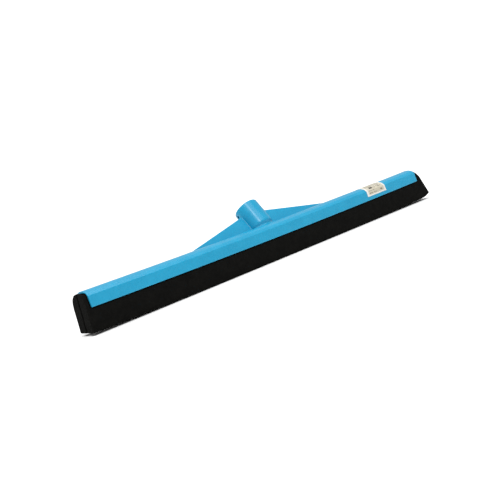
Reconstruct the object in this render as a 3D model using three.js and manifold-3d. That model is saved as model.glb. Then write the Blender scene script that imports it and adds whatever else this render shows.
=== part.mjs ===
// Floor squeegee head: a moulded frame with a handle socket, and a double foam-rubber blade.
// Millimetres, +X along the blade, +Y towards the back (the side the handle leans to), +Z up.
// The blade stands on z = 0; the group is placed so that its origin is under the middle of the
// whole head's bounding box.
import * as THREE from 'three';
import { mergeVertices } from 'three/addons/utils/BufferGeometryUtils.js';
import Module from 'manifold-3d';

// Driving dimensions
const FRAME_LENGTH = 530;
const WALL = 2.2; // channel wall
const SKIRT_BOTTOM_Z = 26; // lower edge of the channel's walls
const SKIRT_BOTTOM_Y = 14; // half width of the channel at that edge
const SHOULDER_Z = 38; // where each wall turns in to the roof
const SHOULDER_Y = 12.6;
const HAUNCH_Z = 41.2; // halfway up the roof's slope
const HAUNCH_Y = 9.2;
const RIDGE_Z = 43; // top of the roof
const RIDGE_Y = 3.5; // half width of the roof's nearly flat top
const GAP = 0.3; // between pieces that touch

const TOOTH = 0.9; // height of the ridges that grip the foam
const TOOTH_HALF = 1.1; // half their width
const WALL_TEETH_Z = [30, 34.5];

const SOCKET_TILT = THREE.MathUtils.degToRad(36.9); // back from upright
const MOUTH_Y = 35.8; // centre of the socket's mouth
const MOUTH_Z = 65.6;
const SOCKET_RADIUS = 16;
const SOCKET_DEPTH = 30; // blind depth of the handle's hole
const BORE_RADIUS = 11;
const SOCKET_BARREL = 33; // length of the socket's full-width part
const SOCKET_TAPER = 7; // length of its tapered root
const SOCKET_ROOT_RADIUS = 9;
const RIM_BEVEL = 0.6;
const SCREW_HOLE_RADIUS = 2; // for a screw through the socket's left side into the handle
const SCREW_HOLE_DOWN = 6; // from the mouth
const SCREW_HOLE_TURN = THREE.MathUtils.degToRad(15); // from the gussets' plane towards the back

const GUSSET_HALF_SPAN = 124; // along X, at the roof
const GUSSET_TOP = 10.1; // from the mouth down to the web's top edge at the socket
const GUSSET_THICKNESS = 3;
const GUSSET_ROOT = 6; // how far the web runs on down past the roof's edge

const OVERHANG_LEFT = 6; // foam past the frame's end, at the skirt's lower edge
const OVERHANG_RIGHT = 9.6;
const LEFT_CUT_SLOPE = 0.03; // outward run per mm of drop
const RIGHT_CUT_SLOPE = 0.46;
const TIP_WEAR = [[20, 0], [9, 1.1], [0, 4.4]]; // worn corner at the right-hand tip: run, rise

const LIP_TOP_Z = 40;
const LIP_TIP_OUTER_Y = 13.4;
const LIP_TIP_INNER_Y = 1.6;
const LIP_EDGE_ROUND = 1.2;

const CORE_HALF_THICKNESS = 1.3;
const CORE_BOTTOM_Z = 21;
const CORE_TEETH_Z = [26.5, 32.25];
const CORE_END_SETBACK = 3; // the core stops short of each end of the frame

const LABEL_START_X = 162.5;
const LABEL_WIDTH = 37;
const LABEL_THICKNESS = 0.3;
const LABEL_FRONT_Z = 30.8; // lower edge of the sticker on the front wall

const HALF_LENGTH = FRAME_LENGTH / 2;
const ROUND_SEGMENTS = 64;

const wasm = await Module();
wasm.setup();

// Solids

function toSolid(geometry) {
  const bare = geometry.clone();
  bare.deleteAttribute('normal');
  bare.deleteAttribute('uv');
  const merged = mergeVertices(bare, 1e-4);
  const mesh = new wasm.Mesh({
    numProp: 3,
    vertProperties: new Float32Array(merged.attributes.position.array),
    triVerts: new Uint32Array(merged.index.array),
  });
  return new wasm.Manifold(mesh);
}

function toGeometry(solid) {
  const mesh = solid.getMesh();
  const geometry = new THREE.BufferGeometry();
  geometry.setAttribute('position', new THREE.BufferAttribute(new Float32Array(mesh.vertProperties), 3));
  geometry.setIndex(new THREE.BufferAttribute(new Uint32Array(mesh.triVerts), 1));
  geometry.computeVertexNormals();
  return geometry;
}

// A closed outline of [y, z] points, drawn out along X from startX to endX.
function alongX(outline, startX, endX) {
  const shape = new THREE.Shape(outline.map(([y, z]) => new THREE.Vector2(y, z)));
  const geometry = new THREE.ExtrudeGeometry(shape, { depth: endX - startX, bevelEnabled: false });
  const yzx = new THREE.Matrix4().makeBasis(
    new THREE.Vector3(0, 1, 0),
    new THREE.Vector3(0, 0, 1),
    new THREE.Vector3(1, 0, 0),
  );
  return geometry.applyMatrix4(yzx).translate(startX, 0, 0);
}

// A closed outline of [x, z] points, drawn out along Y to reach past both faces.
function alongY(outline, reach) {
  const shape = new THREE.Shape(outline.map(([x, z]) => new THREE.Vector2(x, z)));
  const geometry = new THREE.ExtrudeGeometry(shape, { depth: 2 * reach, bevelEnabled: false });
  return geometry.rotateX(Math.PI / 2).translate(0, reach, 0);
}

// The same points on the other side of the middle plane, in the same order.
function flipped(points) {
  return points.map(([y, z]) => [-y, z]);
}

function backwards(points) {
  return [...points].reverse();
}

// Closes the right-hand half of a symmetric outline, listed from the bottom up.
function withMirror(half) {
  return [...half, ...backwards(flipped(half))];
}

// Frame moulding

// Half of the channel's outside, from the foot of the wall to the ridge, grown by offset.
function outerHalf(offset) {
  return [
    [SKIRT_BOTTOM_Y + offset, SKIRT_BOTTOM_Z - offset],
    [SHOULDER_Y + offset, SHOULDER_Z + offset / 2],
    [HAUNCH_Y + 0.7 * offset, HAUNCH_Z + 0.8 * offset],
    [RIDGE_Y, RIDGE_Z + offset],
  ];
}

// The y of the wall's inner face at height z.
function innerWallY(z) {
  const fraction = (z - SKIRT_BOTTOM_Z) / (SHOULDER_Z - SKIRT_BOTTOM_Z);
  return THREE.MathUtils.lerp(SKIRT_BOTTOM_Y, SHOULDER_Y, fraction) - WALL;
}

// A ridge of triangular section on a face at y = face(z), pointing by sign along Y.
function tooth(face, z, sign, height) {
  return [
    [face(z - TOOTH_HALF), z - TOOTH_HALF],
    [face(z) + sign * height, z],
    [face(z + TOOTH_HALF), z + TOOTH_HALF],
  ];
}

function channelOutline() {
  const roofZ = RIDGE_Z - WALL;
  const innerHalf = [
    [innerWallY(SKIRT_BOTTOM_Z), SKIRT_BOTTOM_Z],
    ...WALL_TEETH_Z.flatMap((z) => tooth(innerWallY, z, -1, TOOTH)),
    [innerWallY(SHOULDER_Z - 0.5), SHOULDER_Z - 0.5],
    [HAUNCH_Y - 0.9, roofZ],
  ];
  return [...withMirror(outerHalf(0)), ...flipped(innerHalf), ...backwards(innerHalf)];
}

function channel() {
  return alongX(channelOutline(), -HALF_LENGTH, HALF_LENGTH);
}

// Turns a solid drawn with the socket's axis along +Y and its mouth at the origin into place.
function placeSocket(geometry) {
  return geometry.rotateX(Math.PI / 2 - SOCKET_TILT).translate(0, MOUTH_Y, MOUTH_Z);
}

// A profile of [radius, y] points, turned about the Y axis.
function turned(profile) {
  return new THREE.LatheGeometry(profile.map(([r, y]) => new THREE.Vector2(r, y)), ROUND_SEGMENTS);
}

function socketBarrel() {
  const rootEnd = -(SOCKET_BARREL + SOCKET_TAPER);
  const profile = [
    [0, rootEnd],
    [SOCKET_ROOT_RADIUS, rootEnd],
    [SOCKET_RADIUS, -SOCKET_BARREL],
    [SOCKET_RADIUS, -RIM_BEVEL],
    [SOCKET_RADIUS - RIM_BEVEL, 0],
    [0, 0],
  ];
  return placeSocket(turned(profile));
}

function socketBore() {
  const mouthRadius = BORE_RADIUS + RIM_BEVEL;
  const profile = [
    [0, -SOCKET_DEPTH],
    [BORE_RADIUS, -SOCKET_DEPTH],
    [BORE_RADIUS, -RIM_BEVEL],
    [mouthRadius, 0],
    [mouthRadius, 1],
    [0, 1],
  ];
  return placeSocket(turned(profile));
}

// Reaches from outside the socket's left side to well inside the handle's hole.
function screwHole() {
  const length = SOCKET_RADIUS + BORE_RADIUS / 2;
  const geometry = new THREE.CylinderGeometry(SCREW_HOLE_RADIUS, SCREW_HOLE_RADIUS, length, 24);
  geometry.rotateZ(Math.PI / 2).translate(-SOCKET_RADIUS, -SCREW_HOLE_DOWN, 0);
  return placeSocket(geometry.rotateY(-SCREW_HOLE_TURN));
}

// Both gussets as one thin web through the socket's axis, down to just inside the roof.
function gussetWeb() {
  const roofDrop = (MOUTH_Z - SHOULDER_Z) / Math.cos(SOCKET_TILT);
  const inside = roofDrop + GUSSET_ROOT;
  const outline = [
    [-GUSSET_HALF_SPAN, -inside],
    [GUSSET_HALF_SPAN, -inside],
    [GUSSET_HALF_SPAN, -roofDrop],
    [SOCKET_RADIUS - 1, -GUSSET_TOP],
    [1 - SOCKET_RADIUS, -GUSSET_TOP],
    [-GUSSET_HALF_SPAN, -roofDrop],
  ];
  const shape = new THREE.Shape(outline.map(([x, y]) => new THREE.Vector2(x, y)));
  const geometry = new THREE.ExtrudeGeometry(shape, { depth: GUSSET_THICKNESS, bevelEnabled: false });
  return placeSocket(geometry.translate(0, 0, -GUSSET_THICKNESS / 2));
}

function handleSocket() {
  const roomForChannel = toSolid(alongX(withMirror(outerHalf(GAP)), -HALF_LENGTH, HALF_LENGTH));
  const body = toSolid(socketBarrel()).add(toSolid(gussetWeb()));
  const openings = toSolid(socketBore()).add(toSolid(screwHole()));
  return toGeometry(body.subtract(roomForChannel).subtract(openings));
}

// Blade refill: two foam lips either side of a core strip

// Half thickness of the core strip, which keeps a plain face between its teeth.
function coreFace() {
  return CORE_HALF_THICKNESS;
}

function coreStrip() {
  const half = [
    [CORE_HALF_THICKNESS, CORE_BOTTOM_Z],
    ...CORE_TEETH_Z.flatMap((z) => tooth(coreFace, z, 1, TOOTH)),
    [CORE_HALF_THICKNESS, LIP_TOP_Z],
  ];
  const end = HALF_LENGTH - CORE_END_SETBACK;
  return alongX(withMirror(half), -end, end);
}

// Side view of the foam: nearly square on the left, cut on a slant with a worn tip on the right.
function foamSideOutline() {
  const left = (z) => -(HALF_LENGTH + OVERHANG_LEFT + LEFT_CUT_SLOPE * (SKIRT_BOTTOM_Z - z));
  const right = (z) => HALF_LENGTH + OVERHANG_RIGHT + RIGHT_CUT_SLOPE * (SKIRT_BOTTOM_Z - z);
  const tip = right(TIP_WEAR.at(-1)[1]);
  const top = LIP_TOP_Z + 1;
  return [
    [left(0), 0],
    ...TIP_WEAR.map(([run, rise]) => [tip - run, rise]),
    [right(top), top],
    [left(top), top],
  ];
}

// Section of the lip on the +Y side: squeezed inside the channel, swelling out below it.
function lipOutline() {
  const squeezed = (z) => innerWallY(z) - GAP;
  const coreSide = (z) => coreFace(z) + GAP;
  const swellZ = SKIRT_BOTTOM_Z - GAP;
  const outer = [
    [LIP_TIP_OUTER_Y - LIP_EDGE_ROUND, 0],
    [LIP_TIP_OUTER_Y, LIP_EDGE_ROUND],
    [LIP_TIP_OUTER_Y, swellZ - 4],
    [LIP_TIP_OUTER_Y - 0.6, swellZ - 1.2],
    [squeezed(SKIRT_BOTTOM_Z), swellZ],
    ...WALL_TEETH_Z.flatMap((z) => tooth(squeezed, z, -1, TOOTH)),
    [squeezed(SHOULDER_Z - 1), SHOULDER_Z - 1],
    [HAUNCH_Y - 1.6, LIP_TOP_Z],
  ];
  const inner = [
    [coreSide(LIP_TOP_Z), LIP_TOP_Z],
    ...backwards(CORE_TEETH_Z.flatMap((z) => tooth(coreSide, z, 1, TOOTH))),
    [coreSide(CORE_BOTTOM_Z), CORE_BOTTOM_Z],
    [LIP_TIP_INNER_Y, LIP_EDGE_ROUND],
    [LIP_TIP_INNER_Y + LIP_EDGE_ROUND, 0],
  ];
  return [...outer, ...inner];
}

function lip(side) {
  const outline = side > 0 ? lipOutline() : backwards(flipped(lipOutline()));
  const reach = FRAME_LENGTH;
  const bar = toSolid(alongX(outline, -reach, reach));
  const ends = toSolid(alongY(foamSideOutline(), 2 * SKIRT_BOTTOM_Y));
  return toGeometry(bar.intersect(ends));
}

// Sticker

// Wraps from the front wall over the roof to the back shoulder.
function label() {
  const frontFootY = innerWallY(LABEL_FRONT_Z) + WALL;
  const skin = (offset) => {
    const roofHalf = outerHalf(offset).slice(1);
    return [[-(frontFootY + offset), LABEL_FRONT_Z], ...flipped(roofHalf), ...backwards(roofHalf)];
  };
  const outline = [...skin(GAP), ...backwards(skin(GAP + LABEL_THICKNESS))];
  return alongX(outline, LABEL_START_X, LABEL_START_X + LABEL_WIDTH);
}

// Assembly

function material(color, roughness) {
  return new THREE.MeshStandardMaterial({ color, roughness, metalness: 0 });
}

function named(name, geometry, surface) {
  const mesh = new THREE.Mesh(geometry, surface);
  mesh.name = name;
  return mesh;
}

const BLUE_PLASTIC = [0x2fa9dc, 0.42];
const BLACK_FOAM = [0x171714, 0.95];

const head = new THREE.Group();
head.add(
  named('frame_channel', channel(), material(...BLUE_PLASTIC)),
  named('handle_socket', handleSocket(), material(...BLUE_PLASTIC)),
  named('front_lip', lip(-1), material(...BLACK_FOAM)),
  named('rear_lip', lip(1), material(...BLACK_FOAM)),
  named('core_strip', coreStrip(), material(0x3a3d40, 0.5)),
  named('paper_label', label(), material(0xe9e4d2, 0.6)),
);

const bounds = new THREE.Box3().setFromObject(head);
const middle = bounds.getCenter(new THREE.Vector3());
head.position.set(-middle.x, -middle.y, 0);

export default head;
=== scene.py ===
"""A floor squeegee head: a moulded frame with a handle socket, a double foam-rubber blade on a
core strip, and a paper sticker.

Shapes are worked out in millimetres in the moulding's own coordinates: X along the blade, the
frame's middle plane at y = 0, the floor at z = 0. Each is a signed distance, negative inside,
that is skinned on a grid; meshes are then moved into the row frame, in metres."""
import math

import bpy
import numpy as np
from mathutils import Matrix, Vector


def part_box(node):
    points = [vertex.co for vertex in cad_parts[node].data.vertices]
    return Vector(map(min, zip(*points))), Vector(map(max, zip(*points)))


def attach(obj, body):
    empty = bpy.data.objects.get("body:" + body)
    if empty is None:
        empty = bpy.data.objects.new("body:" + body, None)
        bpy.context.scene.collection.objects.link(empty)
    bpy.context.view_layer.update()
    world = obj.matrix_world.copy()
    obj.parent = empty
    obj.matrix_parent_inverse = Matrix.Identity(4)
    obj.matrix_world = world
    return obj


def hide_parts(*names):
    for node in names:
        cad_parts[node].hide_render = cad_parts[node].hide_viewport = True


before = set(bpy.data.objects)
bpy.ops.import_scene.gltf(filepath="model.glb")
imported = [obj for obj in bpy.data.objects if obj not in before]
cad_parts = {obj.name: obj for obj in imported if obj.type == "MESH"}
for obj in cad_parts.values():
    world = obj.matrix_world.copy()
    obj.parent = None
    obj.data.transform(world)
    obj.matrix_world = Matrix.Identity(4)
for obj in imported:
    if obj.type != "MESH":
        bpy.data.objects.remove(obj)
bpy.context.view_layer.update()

channel_low, channel_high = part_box("frame_channel")
MIDDLE = (channel_low + channel_high) * 500  # millimetres
ORIGIN = np.array([MIDDLE.x, MIDDLE.y, 0.0])
HALF_LENGTH = (channel_high.x - channel_low.x) * 500

# Channel section: [y, z] of the +Y half, and the radius of each corner
SKIRT = (14.0, 26.0)
SHOULDER = (12.6, 38.0)
HAUNCH = (9.2, 41.2)
RIDGE = (3.5, 43.0)
WALL = 2.2
WALL_TEETH_Z = (30.0, 34.5)
TOOTH = 0.9
TOOTH_HALF = 1.1
CORNER_RADII = (0.7, 0.8, 4.0, 5.0)
END_RADIUS = 0.7
BOW = 2.0  # how far the ends of the whole head have warped up
EDGE_BOW = 0.6  # and the foam's free edge beyond that

# Handle socket and its gussets
TILT = math.radians(36.9)
MOUTH = (35.8, 65.6)
SOCKET_RADIUS = 16.0
SOCKET_DEPTH = 30.0
BORE_RADIUS = 11.0
BARREL = 33.0
TAPER = 7.0
ROOT_RADIUS = 9.0
THREAD_PITCH = 5.0
THREAD_DEPTH = 0.8
THREAD_START, THREAD_END = (2.5, 4.5), (26, 28)  # where it fades in and out, down from the mouth
GUSSET_SPAN = 124.0
GUSSET_TOP = 10.1
GUSSET_HALF = 1.5
GUSSET_ROOT = 6.0
WEB_FILLET = 0.8  # where the gussets meet the socket, and along their own edges
SCREW_RADIUS = 2.0  # hole for a screw through the socket's left side into the handle
SCREW_DOWN = 6.0
SCREW_TURN = math.radians(15)  # round from the gussets' plane towards the back
FOOT_FILLET = 3.4  # where the socket and gussets run out over the roof
CAVITY_EDGE, SCREW_EDGE, BORE_EDGE = 0.4, 0.3, 0.7  # rounding where each opening breaks the surface

# Foam lips and core strip
GAP = 0.3
LIP_TOP = 40.0
TIP_OUTER = 13.4
TIP_INNER = 1.2
OVERHANG = (6.0, 9.6)  # past the frame's left and right ends, at the skirt
CUT_SLOPE = (0.03, 0.46)
TIP_WEAR = ((20.0, 0.0), (9.0, 1.1), (0.0, 4.4))  # worn right-hand corner: run, rise
CORE_HALF = 1.3
CORE_BOTTOM = 21.0
CORE_TEETH_Z = (26.5, 32.25)
CORE_SETBACK = 3.0

# Sticker
LABEL_START = 162.5
LABEL_WIDTH = 37.0
LABEL_FRONT_Z = 30.8


# ---------------------------------------------------------------- outlines and distances

def rounded(outline, radii, steps=6):
    """The closed outline with every corner turned into an arc, one radius per corner."""
    points = np.array(outline, float)
    made = []
    for i, radius in enumerate(np.broadcast_to(radii, len(points))):
        corner = points[i]
        back, ahead = points[i - 1] - corner, points[(i + 1) % len(points)] - corner
        room = 0.48 * min(np.linalg.norm(back), np.linalg.norm(ahead))
        back, ahead = back / np.linalg.norm(back), ahead / np.linalg.norm(ahead)
        half = math.acos(np.clip(back @ ahead, -1, 1)) / 2
        if radius <= 0 or half > math.radians(89):
            made.append(corner)
            continue
        cut = min(radius / math.tan(half), room)
        radius = cut * math.tan(half)
        middle = corner + (back + ahead) / np.linalg.norm(back + ahead) * radius / math.sin(half)
        first, last = corner + back * cut - middle, corner + ahead * cut - middle
        for t in np.linspace(0, 1, steps + 1):
            spoke = first * (1 - t) + last * t
            made.append(middle + spoke / np.linalg.norm(spoke) * radius)
    return np.array(made)


def mirrored(half):
    """A closed outline from its +Y half, listed from one end of the middle line to the other."""
    return list(half) + [(-y, z) for y, z in reversed(half)]


def polygon(outline, u, v):
    """Signed distance from points (u, v) to a closed outline."""
    nearest = np.full(np.broadcast(u, v).shape, np.inf)
    inside = np.zeros(nearest.shape, bool)
    for (au, av), (bu, bv) in zip(outline, np.roll(outline, -1, axis=0)):
        eu, ev, pu, pv = bu - au, bv - av, u - au, v - av
        along = np.clip((pu * eu + pv * ev) / max(eu * eu + ev * ev, 1e-12), 0, 1)
        nearest = np.minimum(nearest, (pu - along * eu) ** 2 + (pv - along * ev) ** 2)
        if ev:
            inside ^= ((av > v) != (bv > v)) & (pu < eu * pv / ev)
    return np.where(inside, -1.0, 1.0) * np.sqrt(nearest)


def union(a, b, radius):
    """Both solids, with a fillet where they meet."""
    return np.maximum(radius, np.minimum(a, b)) - np.hypot(
        np.maximum(radius - a, 0), np.maximum(radius - b, 0)
    )


def common(a, b, radius):
    """Where both solids are, with a rounded edge where their surfaces meet."""
    return np.minimum(-radius, np.maximum(a, b)) + np.hypot(
        np.maximum(radius + a, 0), np.maximum(radius + b, 0)
    )


def ease(value, start, end):
    t = np.clip((value - start) / (end - start), 0, 1)
    return t * t * (3 - 2 * t)


def inner_wall(z):
    """The y of the channel wall's inner face at height z."""
    return SKIRT[0] + (SHOULDER[0] - SKIRT[0]) * (z - SKIRT[1]) / (SHOULDER[1] - SKIRT[1]) - WALL


def tooth(face, z, reach):
    """A ridge on the face y = face(z), standing out by reach along Y."""
    below, above = z - TOOTH_HALF, z + TOOTH_HALF
    return [(face(below), below), (face(z) + reach, z), (face(above), above)]


# ---------------------------------------------------------------- skinning

def skin(shape, xs, ys, zs):
    """The surface where shape(x, y, z) is zero, as points and quads, on a grid of any spacing."""
    axes = (xs, ys, zs)
    values = shape(xs[:, None, None], ys[None, :, None], zs[None, None, :])
    solid = values < 0
    nx, ny, nz = (n - 1 for n in solid.shape)
    filled = sum(
        solid[i:nx + i, j:ny + j, k:nz + k].astype(np.int8)
        for i in (0, 1) for j in (0, 1) for k in (0, 1)
    )
    cells = np.argwhere((filled > 0) & (filled < 8))
    number = np.full(filled.shape, -1)
    number[tuple(cells.T)] = np.arange(len(cells))

    total, hits = np.zeros((len(cells), 3)), np.zeros((len(cells), 1))
    steps = np.eye(3, dtype=int)
    for axis in range(3):
        side, up = steps[(axis + 1) % 3], steps[(axis + 2) % 3]
        for i in (0, 1):
            for j in (0, 1):
                a = cells + i * side + j * up
                b = a + steps[axis]
                fa, fb = values[tuple(a.T)], values[tuple(b.T)]
                hit = (fa < 0) != (fb < 0)
                share = np.where(hit, fa / np.where(hit, fa - fb, 1), 0)[:, None]
                pa = np.stack([axes[d][a[:, d]] for d in range(3)], 1)
                pb = np.stack([axes[d][b[:, d]] for d in range(3)], 1)
                total += hit[:, None] * (pa + share * (pb - pa))
                hits += hit[:, None]
    points = settle(shape, total / hits)

    quads = []
    for axis in range(3):
        side, up = steps[(axis + 1) % 3], steps[(axis + 2) % 3]
        low = np.take(solid, range(solid.shape[axis] - 1), axis)
        high = np.take(solid, range(1, solid.shape[axis]), axis)
        edges = np.argwhere(low != high)
        ring = [number[tuple((edges - i * side - j * up).T)] for i, j in ((0, 0), (1, 0), (1, 1), (0, 1))]
        ring = np.stack(ring, 1)
        outward = low[tuple(edges.T)]
        quads.append(np.where(outward[:, None], ring, ring[:, ::-1]))
    return points, np.concatenate(quads)


def slope(shape, points, step=0.05):
    """How fast the distance grows at each point, along X, Y and Z."""
    grown = np.empty_like(points)
    for axis in range(3):
        nudge = np.zeros(3)
        nudge[axis] = step
        grown[:, axis] = (shape(*(points + nudge).T) - shape(*(points - nudge).T)) / (2 * step)
    return grown


def settle(shape, points, limit=0.6):
    """The points moved onto the surface."""
    for _ in range(3):
        rise = slope(shape, points)
        move = rise * (shape(*points.T) / np.maximum((rise ** 2).sum(1), 0.05))[:, None]
        size = np.linalg.norm(move, axis=1, keepdims=True)
        points = points - move * np.minimum(1, limit / np.maximum(size, 1e-9))
    return points


def spaced(*runs):
    """Grid lines through (start, end, step) runs laid end to end."""
    lines = [np.linspace(a, b, max(2, round((b - a) / step) + 1))[:-1] for a, b, step in runs]
    return np.append(np.concatenate(lines), runs[-1][1])


def piece(name, points, faces, normals=None, masks=None):
    """A mesh object in the row frame from points in millimetres."""
    mesh = bpy.data.meshes.new(name)
    x, _, z = np.asarray(points).T
    lift = BOW + EDGE_BOW * np.clip(1 - z / SKIRT[1], 0, 1)
    bowed = points + np.outer(lift * (x / HALF_LENGTH) ** 2, (0, 0, 1))
    placed = (bowed + ORIGIN) / 1000
    mesh.from_pydata(placed.tolist(), [], [list(map(int, f)) for f in faces])
    mesh.polygons.foreach_set("use_smooth", np.ones(len(mesh.polygons), bool))
    for mask, values in (masks or {}).items():
        mesh.attributes.new(mask, "FLOAT", "POINT").data.foreach_set("value", values.astype(np.float32))
    mesh.update()
    if normals is not None:
        # The bow tilts them as well.
        normals[:, 0] -= 2 * BOW * x / HALF_LENGTH ** 2 * normals[:, 2]
        normals /= np.linalg.norm(normals, axis=1, keepdims=True)
        mesh.normals_split_custom_set_from_vertices(normals.tolist())
    made = bpy.data.objects.new(name, mesh)
    bpy.context.scene.collection.objects.link(made)
    return made


def solid_piece(name, shape, grid, feel=0.0):
    """The skin of a shape as a piece. With feel, it carries masks of the edges and hollows that wide."""
    points, faces = skin(shape, *grid)
    rise = slope(shape, points)
    normals = rise / np.maximum(np.linalg.norm(rise, axis=1, keepdims=True), 1e-9)
    masks = {}
    if feel:
        under = shape(*(points - feel * normals).T)
        over = shape(*(points + feel * normals).T)
        # The hollow mask is used on the blue plastic to paint shade, partly grime, into creases.
        masks = {"worn": np.clip(1 + under / feel, 0, 1), "hollow": np.clip(1 - over / feel, 0, 1)}
    return piece(name, points, faces, normals, masks)


# ---------------------------------------------------------------- the frame moulding

OUTER = rounded(mirrored([SKIRT, SHOULDER, HAUNCH, RIDGE]), CORNER_RADII + CORNER_RADII[::-1])


def cavity_outline():
    """The channel's inside, run on below the skirt so that it opens the bottom."""
    foot = SKIRT[1] - 8
    half = [(inner_wall(SKIRT[1]), foot), (inner_wall(SKIRT[1]), SKIRT[1])]
    for z in WALL_TEETH_Z:
        half += tooth(inner_wall, z, -TOOTH)
    half += [(inner_wall(SHOULDER[1] - 0.5), SHOULDER[1] - 0.5), (HAUNCH[0] - 0.9, RIDGE[1] - WALL)]
    radii = [0, 0.4] + [0.4, 0.25, 0.4] * len(WALL_TEETH_Z) + [1.0, 2.0]
    return rounded(mirrored(half), radii + radii[::-1], steps=3)


CAVITY = cavity_outline()


def to_socket(y, z):
    """Distance down the socket's axis from its mouth, and height off the plane of the gussets."""
    dy, dz = y - MOUTH[0], z - MOUTH[1]
    return -(dy * math.sin(TILT) + dz * math.cos(TILT)), dz * math.sin(TILT) - dy * math.cos(TILT)


ROOF_DROP = (MOUTH[1] - SHOULDER[1]) / math.cos(TILT)
GUSSET = rounded(
    [
        (-GUSSET_SPAN, ROOF_DROP + GUSSET_ROOT), (GUSSET_SPAN, ROOF_DROP + GUSSET_ROOT),
        (GUSSET_SPAN, ROOF_DROP), (SOCKET_RADIUS - 1, GUSSET_TOP),
        (1 - SOCKET_RADIUS, GUSSET_TOP), (-GUSSET_SPAN, ROOF_DROP),
    ],
    [0, 0, 12, 3, 3, 12],
)


def barrel(x, down, off):
    """The socket's outside: a turned profile of (radius, distance down) points."""
    root = BARREL + TAPER
    profile = rounded(
        [(-1, 0), (SOCKET_RADIUS, 0), (SOCKET_RADIUS, BARREL), (ROOT_RADIUS, root), (-1, root)],
        [0, 0.9, 4, 2, 0],
    )
    return polygon(profile, np.hypot(x, off), down)


def bore(x, down, off):
    """The blind hole, with a coarse thread cut into its wall, and an eased mouth."""
    turn = np.arctan2(off, x) / (2 * math.pi)
    wave = 0.5 + 0.5 * np.cos(2 * math.pi * (down / THREAD_PITCH - turn))
    threaded = ease(down, *THREAD_START) * (1 - ease(down, *THREAD_END))
    radius = BORE_RADIUS + THREAD_DEPTH * ease(wave, 0.35, 0.9) * threaded
    return common(np.hypot(x, off) - radius, down - SOCKET_DEPTH, 1.0)


def screw_hole(x, down, off):
    """A hole through the socket's left wall only, ending inside the bore."""
    inward = x * math.cos(SCREW_TURN) + off * math.sin(SCREW_TURN)
    aside = off * math.cos(SCREW_TURN) - x * math.sin(SCREW_TURN)
    return np.maximum(np.hypot(down - SCREW_DOWN, aside) - SCREW_RADIUS, inward + BORE_RADIUS - 3)


def moulding(x, y, z):
    down, off = to_socket(y, z)
    web = common(polygon(GUSSET, x, down), np.abs(off) - GUSSET_HALF, WEB_FILLET)
    grown = union(web, barrel(x, down, off), WEB_FILLET)
    shell = common(polygon(OUTER, y, z), np.abs(x) - HALF_LENGTH, END_RADIUS)
    body = union(shell, grown, FOOT_FILLET)
    hollow = np.maximum(polygon(CAVITY, y, z), np.abs(x) - HALF_LENGTH - 2)
    body = common(body, -hollow, CAVITY_EDGE)
    body = common(body, -screw_hole(x, down, off), SCREW_EDGE)
    return common(body, -bore(x, down, off), BORE_EDGE)


frame_piece = solid_piece(
    "frame_moulding",
    moulding,
    (
        spaced(
            (-HALF_LENGTH - 0.6, -HALF_LENGTH + 2.2, 0.4), (-HALF_LENGTH + 2.2, -133, 10), (-133, -108, 1.1),
            (-108, -26, 1.9), (-26, -17, 0.9), (-17, 17, 0.6), (17, 26, 0.9), (26, 108, 1.9),
            (108, 133, 1.1), (133, HALF_LENGTH - 2.2, 10), (HALF_LENGTH - 2.2, HALF_LENGTH + 0.6, 0.4),
        ),
        np.arange(-15.3, 50.0, 0.6),
        np.arange(25.2, 77.0, 0.6),
    ),
    feel=1.2,
)
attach(frame_piece, "frame")
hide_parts("frame_channel", "handle_socket")


# ---------------------------------------------------------------- the blade

def cut_x(side, z):
    """Where the foam is cut at height z, at its left (-1) or right (1) end."""
    i = 0 if side < 0 else 1
    return side * (HALF_LENGTH + OVERHANG[i] + CUT_SLOPE[i] * (SKIRT[1] - z))


FOAM_TOP = 44.0  # above the swollen ends
TIP = cut_x(1, TIP_WEAR[-1][1])
FOAM_SIDE = rounded(
    [(cut_x(-1, 0), 0), *((TIP - run, rise) for run, rise in TIP_WEAR), (cut_x(1, FOAM_TOP), FOAM_TOP),
     (cut_x(-1, FOAM_TOP), FOAM_TOP)],
    [1.5, 12, 12, 0.5, 0, 0],
)


def core_face(z):
    return CORE_HALF + GAP


def gripped_lip():
    """Section of the +Y lip inside the channel, bitten by the ridges of the walls and of the core."""
    def wall(z):
        return inner_wall(z) - GAP

    under = SKIRT[1] - GAP
    points = [(TIP_OUTER, 0), (TIP_OUTER, under - 3.0), (TIP_OUTER - 0.5, under - 0.8), (wall(under), under)]
    radii = [1.6, 5, 2, 0.5]
    for z in WALL_TEETH_Z:
        points += tooth(wall, z, -TOOTH)
        radii += [0.4, 0.3, 0.4]
    points += [(wall(SHOULDER[1] - 1), SHOULDER[1] - 1), (HAUNCH[0] - 1.6, LIP_TOP)]
    points += [(core_face(LIP_TOP), LIP_TOP)]
    radii += [2.0, 1.2, 0.8]
    for z in reversed(CORE_TEETH_Z):
        points += reversed(tooth(core_face, z, TOOTH))
        radii += [0.4, 0.3, 0.4]
    points += [(core_face(CORE_BOTTOM), CORE_BOTTOM), (TIP_INNER, 0)]
    return rounded(points, radii + [3.0, 1.3], steps=4)


# Past the channel's ends the foam is free to swell back to an arch as wide as the frame.
LIP_ARCH = ((TIP_OUTER, 0), (13.5, 31.0), (11.7, 36.0), (7.3, 40.6), (1.0, 42.2), (1.0, 0))
LIP_FREE = rounded(LIP_ARCH, [1.6, 6, 6, 8, 0.8, 1.0], steps=4)
LIP_GRIPPED = gripped_lip()


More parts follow.
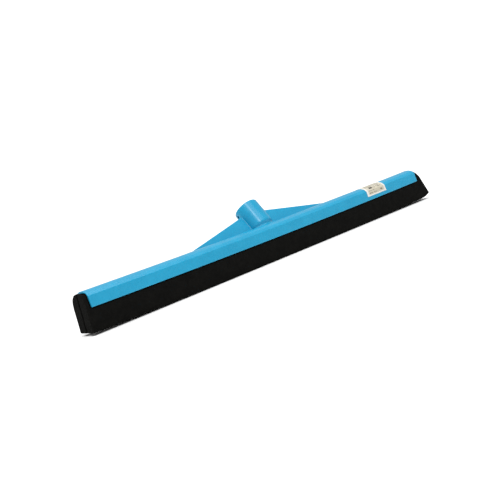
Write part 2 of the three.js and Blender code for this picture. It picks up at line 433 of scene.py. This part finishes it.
def lip_shape(side):
    def shape(x, y, z):
        # Foam sheet is never dead flat: slow waves along the blade, stronger towards the free edge.
        wave = np.sin(x / 31 + side) + 0.6 * np.sin(x / 13.7 + 2.1 * side) + 0.4 * np.sin(x / 7.9 + z / 9)
        across = side * y - 0.13 * wave * np.clip(1 - z / SKIRT[1], 0, 1)
        gripped, loose = polygon(LIP_GRIPPED, across, z), polygon(LIP_FREE, across, z)
        swell = ease(np.abs(x), HALF_LENGTH + 0.2, HALF_LENGTH + 3.4)
        return common(gripped + (loose - gripped) * swell, polygon(FOAM_SIDE, x, z), 0.5)
    return shape


def core_shape(x, y, z):
    half = [(CORE_HALF, CORE_BOTTOM)]
    radii = [0.5]
    for z0 in CORE_TEETH_Z:
        half += tooth(lambda _: CORE_HALF, z0, TOOTH)
        radii += [0.3, 0.25, 0.3]
    half += [(CORE_HALF, LIP_TOP)]
    radii += [0.5]
    section = polygon(rounded(mirrored(half), radii + radii[::-1], steps=3), y, z)
    return common(section, np.abs(x) - HALF_LENGTH + CORE_SETBACK, 0.4)


ends = (cut_x(-1, 0), cut_x(1, 0))
foam_xs = spaced(
    (ends[0] - 1.5, -HALF_LENGTH + 2, 0.8), (-HALF_LENGTH + 2, HALF_LENGTH - 2, 3.5),
    (HALF_LENGTH - 2, ends[1] + 1.5, 0.8),
)
foam_ys, foam_zs = np.arange(0.4, 15.2, 0.75), np.arange(-1.3, 43.5, 0.75)
lips = []
for name, node, side in (("front_foam_lip", "front_lip", -1), ("rear_foam_lip", "rear_lip", 1)):
    lip = solid_piece(name, lip_shape(side), (foam_xs, np.sort(side * foam_ys), foam_zs), feel=1.5)
    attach(lip, "blade")
    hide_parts(node)
    lips.append(lip)

core = solid_piece(
    "core_bar", core_shape,
    (
        spaced(
            (-HALF_LENGTH + 2, -HALF_LENGTH + 5, 0.4), (-HALF_LENGTH + 5, HALF_LENGTH - 5, 20),
            (HALF_LENGTH - 5, HALF_LENGTH - 2, 0.4),
        ),
        np.arange(-2.9, 3.0, 0.3),
        np.arange(20.3, 40.9, 0.4),
    ),
    feel=0.8,
)
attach(core, "blade")
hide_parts("core_strip")


# ---------------------------------------------------------------- the sticker

def label_piece():
    """A thin sheet wrapped from the front wall over the roof, with a lifted corner and soft wrinkles."""
    lengthwise, around, lift = 40, 84, 0.22

    def covered(y, z):
        return z >= LABEL_FRONT_Z and not (y > SHOULDER[0] - 0.2 and z < SHOULDER[1])

    foot = (-(inner_wall(LABEL_FRONT_Z) + WALL), LABEL_FRONT_Z)
    path = np.array([foot] + [point for point in OUTER[::-1] if covered(*point)])
    gone = np.append(0, np.cumsum(np.linalg.norm(np.diff(path, axis=0), axis=1)))
    at = np.linspace(0, gone[-1], around)
    ys, zs = np.interp(at, gone, path[:, 0]), np.interp(at, gone, path[:, 1])
    ty, tz = np.gradient(ys), np.gradient(zs)
    size = np.hypot(ty, tz)
    ny, nz = -tz / size, ty / size
    u, v = np.meshgrid(np.linspace(0, 1, lengthwise), at / gone[-1], indexing="ij")
    curl = np.clip((u - 0.86) / 0.14, 0, 1) ** 2 * np.clip((0.12 - v) / 0.12, 0, 1) ** 2 * 0.7
    wrinkle = 0.05 * np.sin(u * 21 + v * 9) * np.sin(v * 34 + 1.3) ** 2 + 0.04 * np.sin(u * 47 - v * 15)
    height = lift + wrinkle + curl
    points = np.stack([LABEL_START + u * LABEL_WIDTH, ys + ny * height, zs + nz * height], -1).reshape(-1, 3)
    faces = [
        (i * around + j, (i + 1) * around + j, (i + 1) * around + j + 1, i * around + j + 1)
        for i in range(lengthwise - 1) for j in range(around - 1)
    ]
    made = piece("paper_sticker", points, faces)
    layer = made.data.uv_layers.new(name="Print")
    corners = np.empty(len(made.data.loops), int)
    made.data.loops.foreach_get("vertex_index", corners)
    flat = np.stack([u * LABEL_WIDTH, v * gone[-1]], -1).reshape(-1, 2) / LABEL_WIDTH
    layer.data.foreach_set("uv", flat[corners].astype(np.float32).ravel())
    sheet = made.modifiers.new("thickness", "SOLIDIFY")
    sheet.thickness, sheet.offset = 0.00012, -1
    return made


sticker = label_piece()
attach(sticker, "frame")
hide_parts("paper_label")


# ---------------------------------------------------------------- materials

class Shade:
    """A material's nodes, built up in a line or two each."""

    def __init__(self, name):
        self.material = bpy.data.materials.new(name)
        self.material.use_nodes = True
        self.tree = self.material.node_tree
        self.surface = self.tree.nodes["Principled BSDF"]
        self.place = self.node("ShaderNodeTexCoord").outputs["Object"]

    def node(self, kind, **settings):
        made = self.tree.nodes.new(kind)
        for key, value in settings.items():
            setattr(made, key, value)
        return made

    def put(self, socket, value):
        if isinstance(value, bpy.types.NodeSocket):
            self.tree.links.new(value, socket)
        else:
            socket.default_value = value

    def math(self, operation, a, b=0.0, clamp=False):
        made = self.node("ShaderNodeMath", operation=operation, use_clamp=clamp)
        self.put(made.inputs[0], a)
        self.put(made.inputs[1], b)
        return made.outputs[0]

    def stretched(self, scale):
        made = self.node("ShaderNodeMapping")
        self.put(made.inputs["Vector"], self.place)
        made.inputs["Scale"].default_value = scale
        return made.outputs[0]

    def noise(self, scale, detail=2.0, roughness=0.5, place=None):
        made = self.node("ShaderNodeTexNoise")
        self.put(made.inputs["Vector"], place or self.place)
        for key, value in (("Scale", scale), ("Detail", detail), ("Roughness", roughness)):
            made.inputs[key].default_value = value
        return made.outputs["Fac"]

    def cells(self, scale):
        made = self.node("ShaderNodeTexVoronoi")
        self.put(made.inputs["Vector"], self.place)
        made.inputs["Scale"].default_value = scale
        return made.outputs["Distance"]

    def mask(self, name):
        return self.node("ShaderNodeAttribute", attribute_name=name).outputs["Fac"]

    def span(self, value, low, high, to_low=0.0, to_high=1.0):
        made = self.node("ShaderNodeMapRange", interpolation_type="SMOOTHSTEP")
        ends = {"From Min": low, "From Max": high, "To Min": to_low, "To Max": to_high}
        for key, item in {"Value": value, **ends}.items():
            self.put(made.inputs[key], item)
        return made.outputs[0]

    def blend(self, share, a, b):
        made = self.node("ShaderNodeMix", data_type="RGBA")
        self.put(made.inputs["Factor"], share)
        for socket, value in ((made.inputs[6], a), (made.inputs[7], b)):
            self.put(socket, value if isinstance(value, bpy.types.NodeSocket) else (*value, 1))
        return made.outputs[2]

    def bump(self, *layers):
        """Height layers, each (height, depth in metres, strength), laid on each other."""
        normal = None
        for height, depth, strength in layers:
            made = self.node("ShaderNodeBump")
            self.put(made.inputs["Height"], height)
            made.inputs["Distance"].default_value = depth
            made.inputs["Strength"].default_value = strength
            if normal:
                self.put(made.inputs["Normal"], normal)
            normal = made.outputs[0]
        self.put(self.surface.inputs["Normal"], normal)

    def finish(self, color, roughness, **constants):
        self.put(self.surface.inputs["Base Color"], color)
        self.put(self.surface.inputs["Roughness"], roughness)
        for key, value in constants.items():
            self.surface.inputs[key.replace("_", " ")].default_value = value
        return self.material


def blue_plastic():
    s = Shade("moulded_polypropylene")
    cloud = s.span(s.noise(45, 3), 0.3, 0.7)
    color = s.blend(cloud, (0.006, 0.276, 0.470), (0.008, 0.302, 0.505))
    scratches = s.span(s.noise(1.0, 4, 0.65, s.stretched((60, 900, 900))), 0.60, 0.74)
    scuff = s.math("MULTIPLY", scratches, s.span(s.noise(38, 2), 0.46, 0.66))
    color = s.blend(s.math("MULTIPLY", scuff, 0.16), color, (0.10, 0.42, 0.60))
    worn = s.math("MULTIPLY", s.mask("worn"), s.span(s.noise(420, 3), 0.35, 0.7, 0.15, 1.0), clamp=True)
    color = s.blend(s.math("MULTIPLY", worn, 0.14), color, (0.07, 0.38, 0.57))
    # Painted shade, partly grime: creases and hollows darkened towards a deeper blue, mottled by noise.
    hollow = s.math("MULTIPLY", s.mask("hollow"), s.span(s.noise(260, 3), 0.2, 0.7, 0.4, 1.0), clamp=True)
    color = s.blend(s.math("MULTIPLY", hollow, 0.35), color, (0.003, 0.115, 0.25))
    rough = s.math("ADD", s.span(s.noise(130, 3), 0.25, 0.75, 0.24, 0.32), s.math("MULTIPLY", scuff, 0.18))
    s.bump((s.noise(90, 2, 0.5), 0.0008, 0.05), (s.noise(3600, 2, 0.6), 0.0001, 0.08))
    return s.finish(color, rough, Specular_IOR_Level=0.36)


def black_foam():
    s = Shade("closed_cell_foam_rubber")
    cell = s.cells(2300)
    pore = s.span(s.cells(760), 0.10, 0.34)
    cloud = s.span(s.noise(120, 4, 0.6), 0.3, 0.7)
    color = s.blend(cloud, (0.0030, 0.0030, 0.0026), (0.0046, 0.0045, 0.0038))
    color = s.blend(s.math("SUBTRACT", 1.0, pore), color, (0.0018, 0.0018, 0.0016))
    dust = s.math("MULTIPLY", s.span(s.noise(1500, 2, 0.7), 0.62, 0.72), s.span(s.noise(60, 2), 0.45, 0.7))
    color = s.blend(s.math("MULTIPLY", dust, 0.25), color, (0.030, 0.029, 0.025))
    rub = s.math("MULTIPLY", s.mask("worn"), s.span(s.noise(300, 3), 0.3, 0.7))
    color = s.blend(s.math("MULTIPLY", rub, 0.3), color, (0.011, 0.0105, 0.009))
    s.bump((s.noise(150, 3), 0.0008, 0.12), (pore, 0.0003, 0.35), (cell, 0.0002, 0.5))
    return s.finish(color, s.span(s.noise(400, 2), 0.3, 0.7, 0.86, 0.97), Specular_IOR_Level=0.07)


def core_plastic():
    s = Shade("extruded_core")
    lines = s.noise(1.0, 3, 0.6, s.stretched((14, 2600, 2600)))
    color = s.blend(s.span(s.noise(90, 3), 0.3, 0.7), (0.030, 0.032, 0.034), (0.044, 0.047, 0.050))
    s.bump((lines, 0.0002, 0.35), (s.noise(2500, 2), 0.0001, 0.2))
    return s.finish(color, s.span(lines, 0.3, 0.7, 0.42, 0.56))


# Print on the sticker, in millimetres from its lower left corner: (left, right, bottom, top, darkness)
PRINT_RULES = (
    (5.0, 12.0, 3.0, 4.2, 0.75), (14.0, 21.0, 3.0, 4.2, 0.65), (23.5, 31.0, 3.2, 5.6, 0.70),
    (5.0, 16.0, 6.4, 7.3, 0.60), (8.5, 15.0, 9.4, 12.6, 0.98), (16.5, 31.0, 9.2, 10.4, 0.80),
    (16.5, 29.0, 11.2, 12.2, 0.75), (5.0, 32.0, 14.0, 15.4, 0.80), (5.0, 31.0, 16.6, 17.6, 0.70),
    (5.0, 18.0, 19.0, 20.2, 0.75), (20.0, 31.0, 19.0, 20.2, 0.65), (5.0, 26.0, 21.6, 22.8, 0.70),
)


def label_paper():
    s = Shade("printed_paper")
    uv = s.node("ShaderNodeUVMap", uv_map="Print")
    parts = s.node("ShaderNodeSeparateXYZ")
    s.put(parts.inputs[0], uv.outputs[0])
    across = s.math("MULTIPLY", parts.outputs[0], LABEL_WIDTH)
    up = s.math("MULTIPLY", parts.outputs[1], LABEL_WIDTH)

    def fade(value, edge, soft):
        return s.span(value, edge - soft, edge + soft)

    def panel(left, right, bottom, top, soft=0.12):
        width = s.math("MULTIPLY", fade(across, left, soft), fade(across, right, -soft))
        height = s.math("MULTIPLY", fade(up, bottom, soft), fade(up, top, -soft))
        return s.math("MULTIPLY", width, height)

    grain = s.noise(900, 4, 0.6)
    color = s.blend(s.span(grain, 0.3, 0.7), (0.68, 0.67, 0.63), (0.74, 0.73, 0.69))
    tint = panel(3.2, LABEL_WIDTH - 2.6, 1.7, 27.0, 0.2)
    uneven = s.span(s.noise(70, 3), 0.2, 0.8, 0.75, 1.0)
    color = s.blend(s.math("MULTIPLY", tint, uneven), color, (0.50, 0.46, 0.35))
    broken = s.span(s.noise(1.0, 1, 0.5, s.stretched((900, 90, 90))), 0.40, 0.46)
    for left, right, bottom, top, dark in PRINT_RULES:
        ink = s.math("MULTIPLY", panel(left, right, bottom, top), broken if dark < 0.9 else 1.0)
        color = s.blend(s.math("MULTIPLY", ink, dark), color, (0.055, 0.05, 0.042))
    s.bump((s.noise(80, 2), 0.0004, 0.12), (grain, 0.0001, 0.25))
    return s.finish(color, s.span(grain, 0.3, 0.7, 0.42, 0.54))


for made, material in ((frame_piece, blue_plastic()), (core, core_plastic()), (sticker, label_paper())):
    made.data.materials.append(material)
foam = black_foam()
for lip in lips:
    lip.data.materials.append(foam)


# ---------------------------------------------------------------- stage, light and camera

def pale_floor():
    return Shade("pale_floor").finish((0.93, 0.93, 0.93, 1), 0.9, Specular_IOR_Level=0.0)


bpy.ops.mesh.primitive_plane_add(size=60)
floor = bpy.context.object
floor.name = "floor"
floor.data.materials.append(pale_floor())

world = bpy.data.worlds.new("soft_room")
bpy.context.scene.world = world
world.use_nodes = True
sky = world.node_tree
lit = sky.nodes["Background"]
lit.inputs["Color"].default_value = (1, 1, 1, 1)
lit.inputs["Strength"].default_value = 0.60
seen = sky.nodes.new("ShaderNodeBackground")
seen.inputs["Color"].default_value = (1, 1, 1, 1)
seen.inputs["Strength"].default_value = 1.1
path = sky.nodes.new("ShaderNodeLightPath")
mix = sky.nodes.new("ShaderNodeMixShader")
sky.links.new(path.outputs["Is Camera Ray"], mix.inputs[0])
sky.links.new(lit.outputs[0], mix.inputs[1])
sky.links.new(seen.outputs[0], mix.inputs[2])
sky.links.new(mix.outputs[0], sky.nodes["World Output"].inputs[0])


def lamp(name, kind, energy, toward, place=(0, 0, 1), **settings):
    """A lamp at place, shining along toward."""
    data = bpy.data.lights.new(name, kind)
    data.energy = energy
    for key, value in settings.items():
        setattr(data, key, value)
    made = bpy.data.objects.new(name, data)
    made.location = place
    made.rotation_mode = "QUATERNION"
    made.rotation_quaternion = Vector(toward).to_track_quat("-Z", "Y")
    bpy.context.scene.collection.objects.link(made)


lamp("overhead", "SUN", 2.6, (0.06, 0.04, -1), angle=math.radians(70))
lamp("softbox", "AREA", 3.6, (0.30, 0.62, -1.10), (-0.50, -0.75, 1.35), shape="SQUARE", size=0.12)


def aim_camera():
    """The whole head from its front left, slightly above, rolled so that it slants up to the right."""
    azimuth, elevation, roll = (math.radians(a) for a in (-38.913, 6.945, 15.867))
    distance, focal, across, up_shift = 1044.79, 872.84, 35.17, -9.15
    sensor, frame_width = 36.0, 500.0
    back = Vector((
        math.sin(azimuth) * math.cos(elevation), -math.cos(azimuth) * math.cos(elevation), math.sin(elevation)
    ))
    level = Vector((math.cos(azimuth), math.sin(azimuth), 0))
    upright = back.cross(level)
    right = level * math.cos(roll) - upright * math.sin(roll)
    up = level * math.sin(roll) + upright * math.cos(roll)
    eye = (back * distance - right * across - up * up_shift + Vector(ORIGIN)) / 1000
    data = bpy.data.cameras.new("camera")
    data.sensor_width = sensor
    data.lens = focal * sensor / frame_width
    data.clip_start, data.clip_end = 0.01, 100
    camera = bpy.data.objects.new("camera", data)
    axes = Matrix((right, up, back)).transposed()
    camera.matrix_world = Matrix.Translation(eye) @ axes.to_4x4()
    bpy.context.scene.collection.objects.link(camera)
    bpy.context.scene.camera = camera


aim_camera()
bpy.context.scene.view_settings.view_transform = "Standard"
